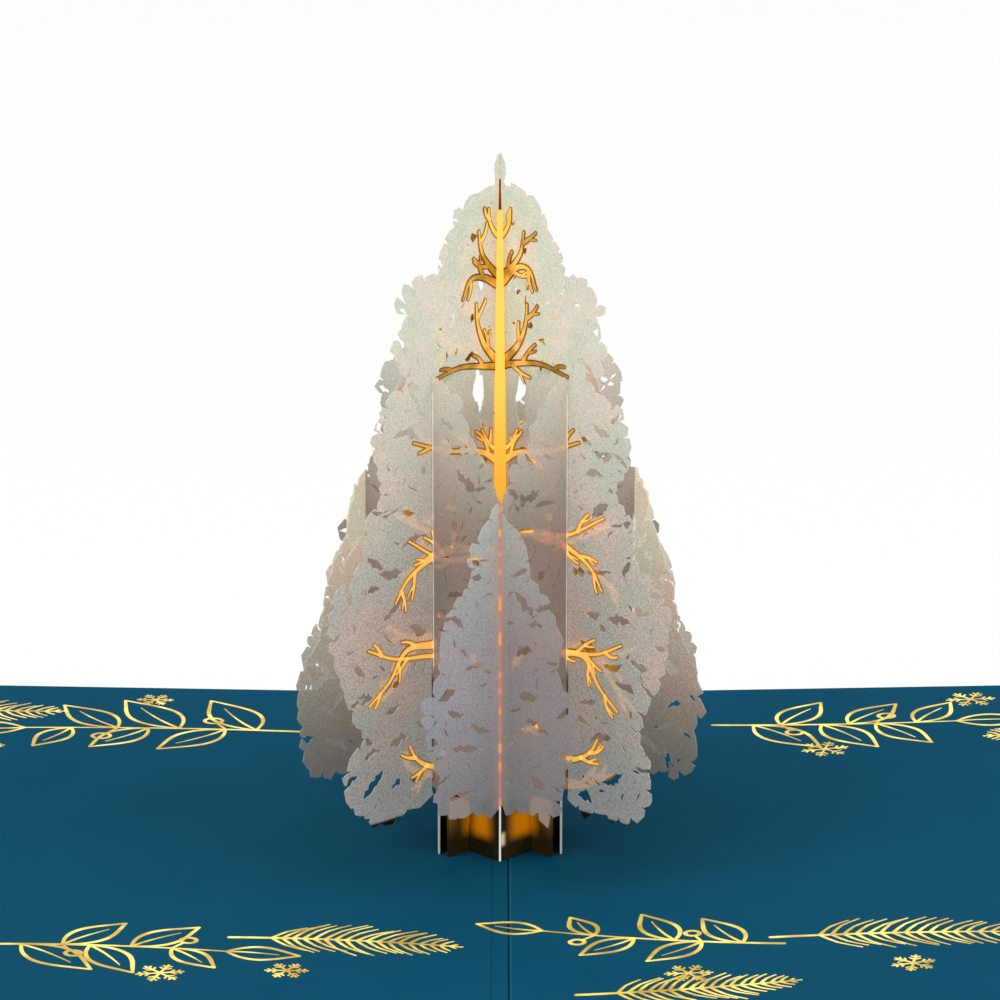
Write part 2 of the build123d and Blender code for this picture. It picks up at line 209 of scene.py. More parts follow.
# %% [markdown]
# The cover is deep teal card, printed all over, so its colour hardly varies. What makes it read as card
# is the grain, a slight cloudiness, and a satin surface. The creases are pressed lines: the right one shows
# as a dark line of painted shade with a pale ridge of painted highlight beside it, and the left one hardly at
# all, as a faint painted shade.

# %% Teal card
CREASE = 1.4
TEAL, TEAL_CLOUD, TEAL_FLECK = (0.0030, 0.064, 0.120), (0.0038, 0.069, 0.128), (0.007, 0.084, 0.148)
# Each line of painted shade or highlight: where it is across the card, half its width and its soft edge in mm,
# its strength, its colour
CREASE_SHADE_LINES = (
    (CREASE, 0.10, 0.12, 0.9, (0.0006, 0.022, 0.045)), (-CREASE, 0.08, 0.12, 0.15, (0.002, 0.035, 0.065)),
    (CREASE + 0.34, 0.08, 0.14, 0.5, (0.016, 0.115, 0.18)),
)
teal, tree, shader = new_material("teal_card")
height, speckle = grain(tree, 0.5 * MM)
colour = mix(tree, cloud(tree, 22 * MM), TEAL, TEAL_CLOUD)
colour = tinted(tree, colour, TEAL_FLECK, speckle, 0.14)
x, _, _ = axes(tree)
for middle, half, soft, strength, crease_shade_colour in CREASE_SHADE_LINES:
    colour = tinted(tree, colour, crease_shade_colour, line_mask(tree, x, middle, half, soft), strength)
set_inputs(tree, shader, {"Base Color": colour, "Roughness": 0.7, "Specular IOR Level": 0.01})
bump(tree, shader, height, 0.22, 0.02 * MM)
put_on(teal, nodes["cover"])
print("card nodes:", len(tree.nodes))

# %% [markdown]
# Vellum takes its colour from what shines on it and through it, so light and shade are painted into each
# slice as tints by zones: painted brown shade where other slices cover it, clearer in front, a milky green of
# painted light at the top, and painted dark shade along its hem. A zone is a pair of colours that a slow noise
# drifts between.

# %% Vellum light and shade painted by zone
SLOT_SPACING = 16.2
CROSSING = SLOT_SPACING / sqrt(2)
# Each pair of tints paints light and shade into the vellum: the brown and shaded pairs are painted shade, the
# milky and fawn pairs painted light at the top, where light shines through the sheets, and the others lie
# between.
COOL = ((0.36, 0.37, 0.42), (0.43, 0.39, 0.41))
SHADED = ((0.28, 0.27, 0.29), (0.34, 0.27, 0.27))
COVERED_SHADE = ((0.27, 0.22, 0.18), (0.33, 0.235, 0.205))
SAGE = ((0.52, 0.52, 0.46), (0.67, 0.52, 0.45))
MILKY = ((0.61, 0.66, 0.54), (0.73, 0.67, 0.57))
TAN = ((0.40, 0.38, 0.31), (0.47, 0.37, 0.31))
FAWN = ((0.75, 0.74, 0.60), (0.88, 0.72, 0.60))
# Colours of the painted shade along a slice's hem; then the heights in mm over which the painted light rises
# and the hem shade falls off.
HEM_SHADE_PALE, HEM_SHADE_COOL, HEM_SHADE_DARK = (0.40, 0.45, 0.44), (0.17, 0.20, 0.21), (0.15, 0.155, 0.15)
FAR_RISE, RIM_RISE, HEM_SHADE_FALL = (58, 88), (26, 58), (33, 15)


def zones(tree, seed, near_rise, far_pair, near_pair, high_pair, near_side, hem_shade_colour, outer):
    """A slice's painted light and shade by height and side. Outer slices have one more zone, past their last
    crossing.
    """
    x, _, z = axes(tree)
    drift = cloud(tree, 12 * MM, 2, 0.38, 0.62, shift=(seed * 0.31, seed * 0.17, 0))
    hem_shade = times(tree, ramp(tree, z, *HEM_SHADE_FALL), 0.75)
    crossing_x, towards = near_side
    beyond = times(tree, maths(tree, "SUBTRACT", x, crossing_x * MM), towards)
    far, near, high = [mix(tree, drift, *pair) for pair in (far_pair, near_pair, high_pair)]
    far = mix(tree, ramp(tree, z, *FAR_RISE), far, high)
    near = mix(tree, hem_shade, mix(tree, near_rise, near, high), hem_shade_colour)
    colour = mix(tree, maths(tree, "GREATER_THAN", beyond, 0.0), far, near)
    if outer:
        low_rim, high_rim = [mix(tree, drift, *pair) for pair in (TAN, FAWN)]
        rim = mix(tree, ramp(tree, z, *RIM_RISE), low_rim, high_rim)
        rim = mix(tree, hem_shade, rim, HEM_SHADE_DARK)
        wide = maths(tree, "GREATER_THAN", maths(tree, "ABSOLUTE", x), 2 * CROSSING * MM)
        colour = mix(tree, wide, colour, rim)
    return colour


print("slices cross at x =", round(CROSSING, 2), "mm")

# %% [markdown]
# Vellum is a frosted sheet: it lets some of what lies behind show through, and scatters the rest. Here a
# Principled shader does that with an alpha below one, so each sheet behind shows as a paler ghost. A grey
# salt of fine specks gives the frosting, and a little glow stands for the light that comes through.

# %% Frosted vellum
SALT_GREY, FLECK_GREY, TRUNK_DARK = (0.17, 0.16, 0.15), (0.24, 0.225, 0.21), (0.02, 0.012, 0.002)
TRUNK_EDGE = (10.8, 10.4)
SHADOW_CUT = 0.6


def slit_lines(tree, colour, slits):
    """Lays the painted highlight, shade and glow of a slice's slot and fold lines over its colour and its glow.
    """
    x, _, z = axes(tree)
    values = {"W": z, "Scale": 1 / (3.2 * MM), "Detail": 1.0}
    flicker = add_node(tree, "ShaderNodeTexNoise", values, noise_dimensions="1D").outputs["Fac"]
    flicker = spread(tree, flicker, 0.50, 0.64)
    glow = colour
    for place, half, soft, weight, dim, bright, bottom, top in slits:
        within = line_mask(tree, z, (bottom + top) / 2, (top - bottom) / 2, 1.5)
        lit = times(tree, times(tree, line_mask(tree, x, place, half, soft), within), weight)
        colour = mix(tree, lit, colour, tuple(value * 0.4 for value in dim))
        glow = mix(tree, lit, glow, mix(tree, flicker, dim, bright))
    return colour, glow


def vellum(name, seed, rises, slits, *tints):
    """Vellum for one slice; the foot of a slice is part of the trunk, so it is dark and not clear."""
    made, tree, shader = new_material(name)
    height, speckle = grain(tree, 0.42 * MM)
    _, _, z = axes(tree)
    near_rise = ramp(tree, z, *rises)
    colour = zones(tree, seed, near_rise, *tints)
    salt = maths(tree, "SUBTRACT", 0.52, times(tree, near_rise, 0.27))
    colour = tinted(tree, colour, SALT_GREY, cloud(tree, 0.26 * MM, 1, 0.40, 0.60, 0.4), salt)
    colour = tinted(tree, colour, FLECK_GREY, speckle, 0.25)
    colour, glow = slit_lines(tree, colour, slits)
    foot = ramp(tree, z, *TRUNK_EDGE)
    colour = mix(tree, foot, colour, TRUNK_DARK)
    alpha = maths(tree, "ADD", 0.66, times(tree, speckle, 0.12))
    in_shadow = times(tree, add_node(tree, "ShaderNodeLightPath", {}).outputs["Is Shadow Ray"], SHADOW_CUT)
    lets_by = maths(tree, "SUBTRACT", 1.0, in_shadow)
    set_inputs(tree, shader, {
        "Base Color": colour, "Emission Color": mix(tree, foot, glow, (0, 0, 0)),
        "Emission Strength": 0.42, "Alpha": times(tree, maths(tree, "MAXIMUM", alpha, foot), lets_by),
        "Roughness": 0.8, "Specular IOR Level": 0.12,
    })
    bump(tree, shader, height, 0.4, 0.04 * MM)
    through = add_node(tree, "ShaderNodeBsdfTranslucent", {"Color": colour})
    blend = add_node(tree, "ShaderNodeMixShader", {0: 0.2, 1: shader.outputs[0], 2: through.outputs[0]})
    join(tree, blend.outputs[0], tree.nodes["Material Output"].inputs["Surface"])
    return made

# %% [markdown]
# The leaf slices of the frame carry the tree's outline. The real sheets are cut finer than that: their edges
# are rows of small angular leaves, and many little openings lie between the leaves. So a copy is made of each
# slice, only its front face is kept, and its rims are read as rounds of flat points to work on.

# %% Read a sheet's outline
def only(piece):
    bpy.ops.object.select_all(action="DESELECT")
    piece.select_set(True)
    bpy.context.view_layer.objects.active = piece


def front_outline(node, facing):
    """A copy of a sheet's front face alone, with its openings."""
    piece = nodes[node].copy()
    piece.data = nodes[node].data.copy()
    piece.name = node + "_fine"
    piece.parent = None
    bpy.context.scene.collection.objects.link(piece)
    only(piece)
    bpy.ops.object.mode_set(mode="EDIT")
    bpy.ops.mesh.select_all(action="SELECT")
    bpy.ops.mesh.remove_doubles(threshold=0.002 * MM)
    bpy.ops.mesh.select_all(action="DESELECT")
    mesh = bmesh.from_edit_mesh(piece.data)
    for face in mesh.faces:
        face.select_set(face.normal.dot(facing) < 0.9)
    bmesh.update_edit_mesh(piece.data)
    bpy.ops.mesh.delete(type="FACE")
    bpy.ops.object.mode_set(mode="OBJECT")
    return piece


def rim_loops(piece, across):
    """The sheet's rims as rounds of flat points, the distance across and the height."""
    mesh = bmesh.new()
    mesh.from_mesh(piece.data)
    after = {}
    for edge in mesh.edges:
        if edge.is_boundary:
            after[edge.link_loops[0].vert] = edge.link_loops[0].link_loop_next.vert
    loops = []
    while after:
        start, current = after.popitem()
        loop = [start]
        while current is not start:
            loop.append(current)
            current = after.pop(current)
        loops.append([(vert.co.dot(across), vert.co.z) for vert in loop])
    mesh.free()
    return loops


def read_sheet(node, facing):
    """A sheet's two directions, its rims, its surface for rays, and how to lay flat points in its plane."""
    facing = Vector((*facing, 0)).normalized()
    across = Vector((-facing.y, facing.x, 0))
    outline = front_outline(node, facing)
    depth = outline.data.vertices[0].co.dot(facing)
    surface = BVHTree.FromObject(outline, bpy.context.evaluated_depsgraph_get())
    rims = rim_loops(outline, across)
    bpy.data.objects.remove(outline)
    return facing, across, rims, surface, in_plane(facing, across, depth)


def in_plane(facing, across, depth):
    return lambda u, z: across * u + facing * depth + Vector((0, 0, z))

# %% [markdown]
# Leaves could be modelled one by one, but a sheet has hundreds. So the rim is walked instead, and a leaf is
# set at each step: three or four points that stand out from the rim by a random part of their height, and a
# notch before the next. The sides of the slots stay straight, because other sheets slide in there.

# %% Leaves along a rim
TREE_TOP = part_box("leaf_slice_centre_a")[1][2]
TRUNK_TOP = 11 * MM
FOOT_REACH = 14.5 * MM
LEAF_PITCH = 3.7 * MM
LEAF_DEPTH = 1.15 * MM
NOTCH_DEPTH = 0.6 * MM
PLAIN_FROM = 0.935 * TREE_TOP
LEAF_SHAPES = (
    ((0.0, 0.6), (0.26, 1.05), (0.74, 1.0), (1.0, 0.5)), ((-0.02, 0.65), (0.5, 1.25), (1.02, 0.6)),
    ((0.05, 0.85), (0.55, 1.1), (0.98, 0.75)), ((0.0, 0.5), (0.35, 1.15), (0.7, 0.95), (1.0, 0.65)),
)


def leafy_rim(loop, chance):
    """The same rim as a row of leaves, but for its upright slot sides and its foot."""
    points, stretch = [], []
    count = len(loop)

    def straight(index):
        (u, z), (next_u, next_z) = loop[index % count], loop[(index + 1) % count]
        upright = abs(next_u - u) < 0.02 * MM or abs(next_z - z) < 0.02 * MM
        return upright or (max(z, next_z) < TRUNK_TOP and abs(u) < FOOT_REACH)

    first = next((index for index in range(count) if straight(index)), 0)
    for index in range(first, first + count):
        stretch.append(loop[index % count])
        if straight(index):
            points += leaf_row(stretch, chance)
            stretch = []
    return points + leaf_row(stretch, chance)


def leaf_row(stretch, chance):
    """Walks along a stretch of rim and sets leaves on it, each with a flat or a pointed tip."""
    runs = [dist(a, b) for a, b in zip(stretch, stretch[1:])]
    total = sum(runs)
    if total < 1.5 * LEAF_PITCH:
        return stretch

    def at(distance, out):
        for (a, b), run in zip(zip(stretch, stretch[1:]), runs):
            if distance <= run:
                break
            distance -= run
        share = min(distance / run, 1)
        along_u, along_z = (b[0] - a[0]) / run, (b[1] - a[1]) / run
        return a[0] + (b[0] - a[0]) * share + along_z * out, a[1] + (b[1] - a[1]) * share - along_u * out

    leaves = round(total / LEAF_PITCH)
    step = total / leaves
    points = [stretch[0]]
    start = 0.0
    for leaf in range(leaves):
        wide = step * chance.uniform(0.6, 1.4) if leaf < leaves - 1 else total - start
        wide = min(wide, total - start)
        if wide < 0.3 * step:
            break
        (a_u, a_z), (b_u, b_z), (mid_u, mid_z) = at(start, 0), at(start + wide, 0), at(start + wide / 2, 0)
        chord = max(dist((a_u, a_z), (b_u, b_z)), 0.2 * MM)
        run_u, run_z = (b_u - a_u) / chord, (b_z - a_z) / chord
        bulge = (mid_u - a_u) * run_z - (mid_z - a_z) * run_u
        tall = max(bulge, 0) + LEAF_DEPTH * chance.uniform(0.6, 1.4)
        for share, high in chance.choice(LEAF_SHAPES):
            share, high = share + chance.uniform(-0.06, 0.06), high * tall * chance.uniform(0.85, 1.15)
            if a_z > PLAIN_FROM:
                points.append(at(start + wide * share, 0.1 * high))
            else:
                along = chord * share
                points.append((a_u + run_u * along + run_z * high, a_z + run_z * along - run_u * high))
        start += wide
        if leaf < leaves - 1:
            points.append(at(start, -NOTCH_DEPTH * chance.uniform(0.2, 1.3)))
    return points + [stretch[-1]]


print("tree top:", round(TREE_TOP / MM, 1), "mm")

# %% [markdown]
# Between the leaves lie openings of three kinds: specks, short slits, and longer ragged gaps. Each is drawn
# about its own middle first. The few windows beside the stem are larger, and have their own sizes.

# %% The shape of an opening
WINDOWS = ((-5.1, 81, 1.5, 4.4), (5.0, 80, 1.3, 4.8), (-4.6, 99, 0.7, 1.8), (6.2, 106, 0.8, 1.1))


def turned(points, turn):
    run, rise = cos(turn), sin(turn)
    return [(x * run - y * rise, x * rise + y * run) for x, y in points]


def ring(chance, long, wide, count):
    points = []
    for index in range(count):
        angle = 2 * pi * (index + chance.uniform(-0.2, 0.2)) / count
        x = cos(angle) * long * chance.uniform(0.72, 1.15)
        points.append((x, sin(angle) * wide * chance.uniform(0.7, 1.2)))
    return points


def band(chance, length, width):
    """A ragged gap between two rows of leaves, with small leaf tips along both its edges."""
    count = max(4, round(length / (0.62 * MM)))
    sag = chance.uniform(-0.18, 0.18) * length
    upper, lower = [], []
    for index in range(count + 1):
        share = index / count
        x = (share - 0.5) * length
        middle = sag * (1 - (2 * share - 1) ** 2)
        half = width / 2 * (1 - abs(2 * share - 1) ** 2.5) + 0.04 * MM
        upper.append((x, middle + half * chance.uniform(0.35, 1.5)))
        lower.append((x + chance.uniform(-0.1, 0.1) * MM, middle - half * chance.uniform(0.35, 1.5)))
    return lower + upper[::-1]


def opening(chance, kind):
    if kind == "speck":
        size = chance.uniform(0.12, 0.24) * MM
        long, turn = size * chance.uniform(1.0, 1.7), chance.uniform(0, pi)
        return turned(ring(chance, long, size, 6), turn)
    if kind == "slit":
        shape = band(chance, chance.uniform(1.2, 3.2) * MM, chance.uniform(0.25, 0.6) * MM)
        return turned(shape, chance.uniform(0, pi))
    lean = chance.uniform(-0.7, 0.7)
    return turned(band(chance, chance.uniform(3.2, 7.5) * MM, chance.uniform(0.9, 1.9) * MM), lean)


def window(chance, u, z, half_width, half_height):
    """A tall ragged opening between the stem and the leaves."""
    points = []
    for index in range(16):
        angle = 2 * pi * index / 16
        reach = chance.uniform(0.72, 1.2) * MM
        points.append((u * MM + cos(angle) * half_width * reach,
                       z * MM + sin(angle) * half_height * reach))
    return points


print("windows:", len(WINDOWS))

# %% [markdown]
# The openings are thrown at the sheet at random, like darts, and only those that land whole are kept: a ray
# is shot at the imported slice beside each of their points. Clefts are kept by other rules, as they have to
# start outside the rim and run in.

# %% Throw the openings at a sheet
CLEAR_OF_RIM = 0.55 * MM
SLOTS = (-SLOT_SPACING * MM, 0, SLOT_SPACING * MM)
AREA_PER_TRY = {"gap": 22e-6, "slit": 12e-6, "speck": 9e-6}


def openings(chance, covered, low, high):
    """Throws openings at the sheet, and keeps each one that lands whole and clear of all others."""
    kept = []
    area = (high[0] - low[0]) * (high[1] - low[1])
    for kind, per_try in AREA_PER_TRY.items():
        for _ in range(int(area / per_try)):
            u, z = chance.uniform(low[0], high[0]), chance.uniform(max(low[1], TRUNK_TOP), high[1])
            points = [(u + x, z + y) for x, y in opening(chance, kind)]
            size = max(hypot(x - u, y - z) for x, y in points)
            wide = max(abs(x - u) for x, y in points)
            if min(abs(u - slot) for slot in SLOTS) < wide + 0.7 * MM:
                continue
            if any(hypot(u - a, z - b) < (size + other) * 0.8 for a, b, other, _ in kept):
                continue
            grown = 1 + CLEAR_OF_RIM / size
            if all(covered(u + (x - u) * grown, z + (y - z) * grown) for x, y in points):
                kept.append((u, z, size, points))
    return [points for _, _, _, points in kept]


def clefts(chance, loop):
    """Ragged cuts that run in from the rim, and part the sheet's edge into clumps of leaves."""
    kept = []
    top = max(z for _, z in loop)
    for index in range(0, len(loop), 3):
        u, z = loop[index]
        before, after = loop[index - 3], loop[(index + 3) % len(loop)]
        run_u, run_z = after[0] - before[0], after[1] - before[1]
        length = hypot(run_u, run_z)
        in_u, in_z = -run_z / length, run_u / length
        deep = chance.uniform(1.6, 4.4) * MM
        near_slot = min(abs(u + in_u * deep - slot) for slot in SLOTS) < 2.2 * MM
        if z < TRUNK_TOP + 3 * MM or z > top - 8 * MM or near_slot or chance.random() < 0.35:
            continue
        if any(hypot(u - a, z - b) < 5.5 * MM for a, b, _ in kept):
            continue
        turn = atan2(in_z, in_u) + chance.uniform(-0.6, 0.6)
        shape = [(x + deep * 0.32, y) for x, y in band(chance, deep * 1.36, chance.uniform(0.7, 1.3) * MM)]
        kept.append((u, z, [(u + x, z + y) for x, y in turned(shape, turn)]))
    return [points for _, _, points in kept]


print("kinds of openings:", *AREA_PER_TRY)

# %% [markdown]
# Now the flat points become a sheet. Cutting each opening out with a boolean is slow and can lose the whole
# sheet, so rims and openings are triangulated together instead, and a walk from triangle to triangle tells
# which of them are sheet: it is inside after each rim it crosses, and outside after each cut.

# %% Flat sheets from rims and cuts
def sides_of(face):
    return [frozenset((face[index], face[index - 1])) for index in range(3)]


def sheet_faces(edges, origins, faces, rim_count):
    """Of a full triangulation, the triangles inside the rims and outside the cuts."""
    crossed = {}
    for edge, sources in zip(edges, origins):
        rims = sum(source < rim_count for source in sources)
        crossed[frozenset(edge)] = (rims % 2, (len(sources) - rims) % 2)
    sides = {}
    for number, face in enumerate(faces):
        for side in sides_of(face):
            sides.setdefault(side, []).append(number)
    state = {}
    queue = [(numbers[0], crossed[side]) for side, numbers in sides.items() if len(numbers) == 1]
    while queue:
        number, (in_rim, in_cut) = queue.pop()
        if number in state:
            continue
        state[number] = in_rim and not in_cut
        for side in sides_of(faces[number]):
            rim, cut = crossed[side]
            queue += [(other, (in_rim ^ rim, in_cut ^ cut)) for other in sides[side] if other not in state]
    return [face for number, face in enumerate(faces) if state[number]]


def add_piece(name, data):
    piece = bpy.data.objects.new(name, data)
    bpy.context.scene.collection.objects.link(piece)
    only(piece)
    return piece


def thicken(piece, thickness, offset):
    solid = piece.modifiers.new("sheet", "SOLIDIFY")
    solid.thickness = thickness
    solid.offset = offset
    bpy.ops.object.modifier_apply(modifier="sheet")


def flat_sheet(name, loops, rim_count, place, facing, thickness):
    """One thin closed sheet from its rims and cuts; rim_count is how many of the points are on rims."""
    points, edges = [], []
    for loop in loops:
        start = len(points)
        points += [Vector(point) for point in loop]
        edges += [(start + index, start + (index + 1) % len(loop)) for index in range(len(loop))]
    flat_points, flat_edges, faces, _, origins, _ = delaunay_2d_cdt(points, edges, [], 0, 1e-7)
    faces = sheet_faces(flat_edges, origins, faces, rim_count)
    sheet = bpy.data.meshes.new(name)
    sheet.from_pydata([place(u, z) for u, z in flat_points], [], faces)
    piece = add_piece(name, sheet)
    bpy.ops.object.mode_set(mode="EDIT")
    bpy.ops.mesh.select_all(action="SELECT")
    bpy.ops.mesh.delete_loose()
    bpy.ops.mesh.select_all(action="SELECT")
    bpy.ops.mesh.normals_make_consistent(inside=False)
    bpy.ops.object.mode_set(mode="OBJECT")
    if sheet.polygons[0].normal.dot(facing) < 0:
        sheet.flip_normals()
    thicken(piece, thickness, -1)
    return piece


def join_card(piece, material):
    """Gives a piece its finish, and lets it ride with the card."""
    put_on(material, piece)
    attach(piece, "root")
    print(piece.name, "faces:", len(piece.data.polygons))

# %% [markdown]
# Some leaves move before the sheets are made. In the photo the crown ends in a slender spire, the outer
# slices narrow towards their tops, and their hems hang a little clear of the trunk. Each narrowing is a row
# of heights, with the share that the sheet keeps there of what reaches past its slots.

# %% Move leaves as the photo shows
SPIRE_KEEP, OUTER_KEEP = 0.34 * MM, 17.2 * MM
SPIRE_SHARES = (
    (0, 1.0), (0.83, 1.0), (0.89, 0.90), (0.93, 0.82), (0.958, 0.36), (0.974, 0.60), (0.984, 0.56), (1.01, 0.04)
)
OUTER_SHARES = ((0, 1.0), (22, 1.0), (31, 0.92), (41, 0.72), (51, 0.64), (58, 0.60), (63, 0.48), (130, 0.4))
HEM_LIFT, HEM_REACH = 2.0 * MM, 16 * MM


def hem_lifted(loop, low_z):
    return [(u, z + HEM_LIFT * max(0, 1 - (z - low_z) / HEM_REACH)) for u, z in loop]


def narrowed(loop, shares, unit, keep, sides):
    """Draws points in towards the slice's middle, past the reach that it keeps in full."""
    moved = []
    for u, z in loop:
        for (low, low_share), (high, high_share) in zip(shares, shares[1:]):
            if low <= z / unit <= high and abs(u) > keep and copysign(1, u) in sides:
                share = low_share + (high_share - low_share) * (z / unit - low) / (high - low)
                u = copysign(keep + (abs(u) - keep) * share, u)
                break
        moved.append((u, z))
    return moved

# %% [markdown]
# Last come the slices themselves. Where a slice is slotted, its edge shows as a thin line: its pale white cut
# edge with a painted highlight where light falls on it, painted shade near the card, and a painted amber glow
# along the fold, where the light guide shines through. These lines are painted by the material, since each is
# hardly wider than the sheet is thick.

# %% Refine the leaf slices
VELLUM_THICKNESS = 0.25 * MM
# A dim and a bright colour for each kind of line: painted highlight on a white edge, painted shade, and painted
# amber and blush glow.
PALE_EDGE_HIGHLIGHT = ((1.3, 1.28, 1.2), (1.6, 1.55, 1.45))
SLOT_SHADE = ((0.05, 0.05, 0.05), (0.09, 0.09, 0.09))
AMBER_GLOW = ((0.95, 0.46, 0.34), (2.6, 0.90, 0.12))
BLUSH_GLOW = ((0.85, 0.55, 0.52), (1.0, 0.58, 0.50))
WINDOW_CLEARANCE = 3.6 * MM


def slit_places(side):
    """The painted glow lines at the fold, and the painted highlight and shade lines at the two slots left or
    right of it.
    """
    return [
        (0, 0.2, 1.4, 0.3, *BLUSH_GLOW, 14, 60), (0, 0.16, 0.16, 0.75, *AMBER_GLOW, 14, 68),
        (side * CROSSING, 0.2, 0.16, 0.9, *PALE_EDGE_HIGHLIGHT, 36, 82), (side * CROSSING, 0.16, 0.14, 0.8, *SLOT_SHADE, 16, 33),
        (side * 2 * CROSSING, 0.2, 0.14, 0.9, *PALE_EDGE_HIGHLIGHT, 42, 58),
    ]


# Each slice: where it faces, the heights in mm between which its clear side pales with painted light, its
# lines, the pairs of painted light and shade of its covered, clear and high zones, where its clear side starts
# and on which side, its painted hem shade, and if it is outer
SLICES = {
    "leaf_slice_centre_a": ((1, -1), (46, 92), [], COVERED_SHADE, SAGE, MILKY, (-CROSSING, -1), HEM_SHADE_PALE, False),
    "leaf_slice_centre_b": ((-1, -1), (46, 92), [], COVERED_SHADE, SAGE, MILKY, (CROSSING, 1), HEM_SHADE_PALE, False),
    "leaf_slice_front_right": (
        (1, -1), (42, 92), slit_places(1), COVERED_SHADE, COOL, MILKY, (0, -1), HEM_SHADE_COOL, True),
    "leaf_slice_front_left": (
        (-1, -1), (42, 92), slit_places(-1), COVERED_SHADE, SHADED, MILKY, (0, 1), HEM_SHADE_COOL, True),
    "leaf_slice_back_left": ((1, -1), (30, 58), [], COVERED_SHADE, TAN, FAWN, (-2 * CROSSING, -1), HEM_SHADE_DARK, True),
    "leaf_slice_back_right": ((-1, -1), (30, 58), [], COVERED_SHADE, TAN, FAWN, (2 * CROSSING, 1), HEM_SHADE_DARK, True),
}


def fine_slice(seed, node, facing, *look):
    chance = random.Random(seed)
    facing, across, rims, surface, place = read_sheet(node, facing)
    step = facing * MM

    def covered(u, z):
        return surface.ray_cast(place(u, z) + step, -step.normalized())[0]

    everything = [point for rim in rims for point in rim]
    low, high = [tuple(pick(point[axis] for point in everything) for axis in (0, 1)) for pick in (min, max)]
    cuts = openings(chance, covered, low, high) + clefts(chance, max(rims, key=len))
    rims = [leafy_rim(rim, chance) for rim in rims]
    rim_count = sum(len(rim) for rim in rims)
    if "centre" in node:
        cuts = [cut for cut in cuts if all(
            hypot(cut[0][0] - u * MM, (cut[0][1] - z * MM) * 0.6) > WINDOW_CLEARANCE
            for u, z, _, _ in WINDOWS)]
        loops = rims + cuts + [window(chance, *shape) for shape in WINDOWS]
        loops = [narrowed(loop, SPIRE_SHARES, TREE_TOP, SPIRE_KEEP, (-1, 1)) for loop in loops]
    else:
        outer_side = -1 if "left" in node else 1
        loops = [hem_lifted(loop, low[1]) for loop in rims + cuts]
        loops = [narrowed(loop, OUTER_SHARES, MM, OUTER_KEEP, (outer_side,)) for loop in loops]
    piece = flat_sheet(node + "_fine", loops, rim_count, place, facing, VELLUM_THICKNESS)
    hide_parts(node)
    join_card(piece, vellum(node + "_vellum", seed, *look))


for number, (node, settings) in enumerate(SLICES.items()):
    fine_slice(number, node, *settings)

# %% [markdown]
# The gold trees are thin foil card. Foil is a metal that is brightest where the light inside the tree
# reaches it, so that light is painted into its colour, which runs from dark gold to bright yellow along the
# limbs, and the foil has a painted glow. Where vellum lies before a limb, the sheet would swallow its glow, so
# it glows more strongly for rays that have passed a sheet.

# %% Gold foil of the branch trees
FOIL_TIP_SHADE = (0.24, 0.12, 0.015)
FOOT_TOP = 10.7 * MM


def limb_light(tree, colour, bright_low):
    """Paints shade on the tips of the limbs, and paints light on those low in the tree."""
    x, _, z = axes(tree)
    tip_shade = ramp(tree, maths(tree, "ABSOLUTE", x), 2.5, 9)
    colour = tinted(tree, colour, FOIL_TIP_SHADE, tip_shade, 0.8)
    return mix(tree, ramp(tree, z, 84, 62), colour, bright_low)


def trunk_foot(tree, colour, fleck):
    """The foot of a gold tree belongs to the trunk: dark foil with painted warm lamp light at its sides and
    middle.
    """
    x, _, z = axes(tree)
    aside = maths(tree, "ABSOLUTE", x)
    warm = times(tree, ramp(tree, z, 3.5, 10), ramp(tree, aside, 6.5, 8.6))
    trunk = mix(tree, warm, (0.022, 0.015, 0.003), (0.42, 0.21, 0.03))
    trunk = tinted(tree, trunk, (0.05, 0.032, 0.006), fleck, 0.35)
    lit = times(tree, ramp(tree, aside, 7.0, 5.4), line_mask(tree, z, 6.3, 1.2, 2.2))
    trunk = tinted(tree, trunk, (0.9, 0.36, 0.0), lit, 0.6)
    return mix(tree, maths(tree, "LESS_THAN", z, FOOT_TOP), colour, trunk)


def gold_foil(name, dark, bright, strength, lit_low=None, ghost=None, foot=False):
    """Foil that runs from dark to bright gold, with a painted glow; the ghost colour is its stronger painted
    glow behind vellum.
    """
    made, tree, shader = new_material(name)
    patch, fleck = cloud(tree, 6 * MM, 2, 0.40, 0.60), cloud(tree, 0.5 * MM, 2, 0.3, 0.7)
    colour = tinted(tree, mix(tree, patch, dark, bright), dark, fleck, 0.3)
    if lit_low:
        colour = limb_light(tree, colour, mix(tree, patch, lit_low, bright))
    if foot:
        colour = trunk_foot(tree, colour, fleck)
    glow = colour
    if ghost:
        passed = add_node(tree, "ShaderNodeLightPath", {}).outputs["Transparent Depth"]
        glow = mix(tree, maths(tree, "GREATER_THAN", passed, 0.5), colour, ghost)
    set_inputs(tree, shader, {
        "Base Color": colour, "Metallic": 0.6, "Roughness": 0.35,
        "Emission Color": glow, "Emission Strength": strength,
    })
    return made


# Dark gold for the stems and the wide strip of each limb: along a limb it shows as painted shade at the limb's
# edges.
branch_edge = gold_foil(
    "branch_edge_foil", (0.10, 0.045, 0.004), (0.34, 0.16, 0.02), 0.3, (0.62, 0.28, 0.04), (6.3, 3.1, 1.0), True
)
# Bright gold for the narrow strip on each limb: a painted highlight, with a stronger painted glow.
branch_face = gold_foil(
    "branch_face_foil", (0.40, 0.19, 0.02), (1.0, 0.60, 0.14), 0.6, (1.0, 0.58, 0.14), (3.2, 1.6, 0.5)
)
gold_nodes = [name for name in nodes if name.startswith("gold_tree_")]
put_on(branch_edge, *[nodes[name] for name in gold_nodes])
print("gold trees:", len(gold_nodes))

# %% [markdown]
# Limbs and ornament alike are strips of foil: a line on a flat place, with a width at each of its points. A
# smooth line through a few points is enough to draw with, and strips stay light, as each step is one face.

